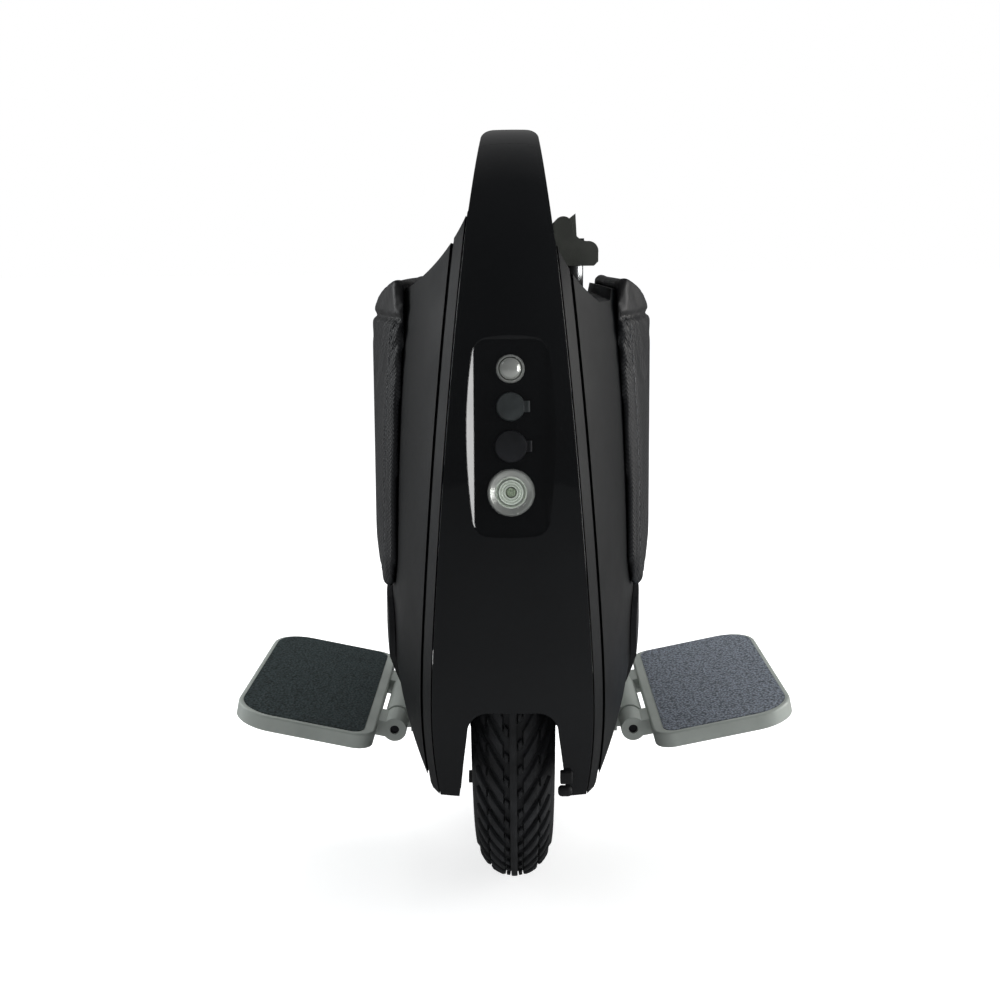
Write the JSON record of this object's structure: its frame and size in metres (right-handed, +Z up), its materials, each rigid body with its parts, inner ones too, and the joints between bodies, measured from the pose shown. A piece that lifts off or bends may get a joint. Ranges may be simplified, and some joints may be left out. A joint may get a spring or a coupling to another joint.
{
  "type": "electric unicycle",
  "caption": "Self-balancing electric unicycle: hub-motor tyre in a shell with padded sides, folding pedals, carry handle, pull-up trolley handle, headlight and front ports.",
  "frame": {"origin": "on the ground under the middle of the wheel, below the axle", "axes": "+X along the axle to the right as seen from the front, -Y towards the front with the headlight, +Z up"},
  "size_m": [0.366, 0.3924, 0.498],
  "materials": {
    "tyre_rubber": "matte",
    "black_rubber": "matte",
    "rim_paint": "satin",
    "motor_cover_metal": "satin",
    "steel": "satin",
    "dark_steel": "satin",
    "lamination": "matte",
    "copper": "satin",
    "well_plastic": "matte",
    "hanger_metal": "satin",
    "pedal_metal": "satin",
    "grip_tape": "matte",
    "gloss_black": "gloss",
    "satin_black": "satin",
    "pad_leather": "satin",
    "polished_metal": "gloss",
    "lamp_glass": "gloss",
    "lamp_led": "matte",
    "tail_glass": "gloss",
    "cap_rubber": "matte",
    "socket_plastic": "matte",
    "tube_metal": "satin",
    "battery_wrap": "satin",
    "circuit_board": "satin",
    "sink_metal": "satin",
    "can_sleeve": "gloss"
  },
  "bodies": {
    "chassis": {"bearing_inner_rings": "steel", "bearing_balls": "steel", "axle": "steel", "axle_nuts": "steel", "stator_core": "lamination", "stator_coils": "copper", "wheel_well": "well_plastic", "pedal_hanger_left": "hanger_metal", "pedal_hanger_right": "hanger_metal", "hanger_bolts": "dark_steel", "pedal_pins": "dark_steel", "front_panel": "gloss_black", "rear_panel": "gloss_black", "panel_screws": "dark_steel", "carry_handle": "gloss_black", "cover_left": "satin_black", "cover_right": "satin_black", "cover_screws": "dark_steel", "kick_pad_left": "pad_leather", "kick_pad_right": "pad_leather", "lower_guard_left": "well_plastic", "lower_guard_right": "well_plastic", "headlight_bezel": "polished_metal", "headlight_lens": "lamp_glass", "headlight_led": "lamp_led", "power_button_bezel": "polished_metal", "charge_socket": "socket_plastic", "usb_socket": "steel", "tail_light_lens": "tail_glass", "tail_light_board": "circuit_board", "trolley_sleeve": "tube_metal", "trolley_clamps": "well_plastic", "battery_left": "battery_wrap", "battery_right": "battery_wrap", "control_board": "circuit_board", "heat_sink": "sink_metal", "capacitors": "can_sleeve", "motor_cable": "black_rubber", "battery_leads": "black_rubber"},
    "wheel": {"tyre": "tyre_rubber", "inner_tube": "black_rubber", "tyre_valve": "black_rubber", "rim": "rim_paint", "motor_magnets": "steel", "motor_cover_left": "motor_cover_metal", "motor_cover_right": "motor_cover_metal", "motor_cover_screws": "dark_steel", "bearing_outer_rings": "steel"},
    "left_pedal": {"pedal_left": "pedal_metal", "grip_tape_left": "grip_tape"},
    "right_pedal": {"pedal_right": "pedal_metal", "grip_tape_right": "grip_tape"},
    "power_key": {"power_button": "polished_metal"},
    "charge_cover": {"charge_cap": "cap_rubber"},
    "usb_cover": {"usb_cap": "cap_rubber"},
    "lift_key": {"lift_switch": "black_rubber"},
    "trolley_stage_one": {"trolley_tube": "tube_metal"},
    "trolley_stage_two": {"trolley_rod": "tube_metal", "trolley_grip": "black_rubber"},
    "trolley_key": {"trolley_release": "satin_black"}
  },
  "joints": [
    {"name": "wheel_spin", "type": "hinge", "parent": "chassis", "child": "wheel", "pos_m": [0, 0, 0.18], "axis": [1, 0, 0], "continuous": true},
    {"name": "left_pedal_fold", "type": "hinge", "parent": "chassis", "child": "left_pedal", "pos_m": [-0.08, 0, 0.11], "axis": [0, 1, 0], "range_deg": [0, 64]},
    {"name": "right_pedal_fold", "type": "hinge", "parent": "chassis", "child": "right_pedal", "pos_m": [0.08, 0, 0.11], "axis": [0, -1, 0], "range_deg": [0, 64]},
    {"name": "power_button_press", "type": "slide", "parent": "chassis", "child": "power_key", "axis": [0, 0.9878, -0.156], "range_m": [0, 0.0016], "stiffness_N_per_m": 800},
    {"name": "charge_cap_swing", "type": "hinge", "parent": "chassis", "child": "charge_cover", "pos_m": [0.0093, -0.18457, 0.34279], "axis": [0, 0.156, 0.9878], "range_deg": [0, 110]},
    {"name": "usb_cap_swing", "type": "hinge", "parent": "chassis", "child": "usb_cover", "pos_m": [0.0103, -0.18785, 0.32205], "axis": [0, 0.156, 0.9878], "range_deg": [0, 110]},
    {"name": "lift_switch_press", "type": "slide", "parent": "chassis", "child": "lift_key", "axis": [0, 0, 1], "range_m": [0, 0.0025], "stiffness_N_per_m": 500},
    {"name": "trolley_stage_one_pull", "type": "slide", "parent": "chassis", "child": "trolley_stage_one", "axis": [0, 0, 1], "range_m": [0, 0.2]},
    {"name": "trolley_stage_two_pull", "type": "slide", "parent": "trolley_stage_one", "child": "trolley_stage_two", "axis": [0, 0, 1], "range_m": [0, 0.2]},
    {"name": "trolley_release_press", "type": "slide", "parent": "trolley_stage_two", "child": "trolley_key", "axis": [0, 0, -1], "range_m": [0, 0.003], "stiffness_N_per_m": 400}
  ]
}
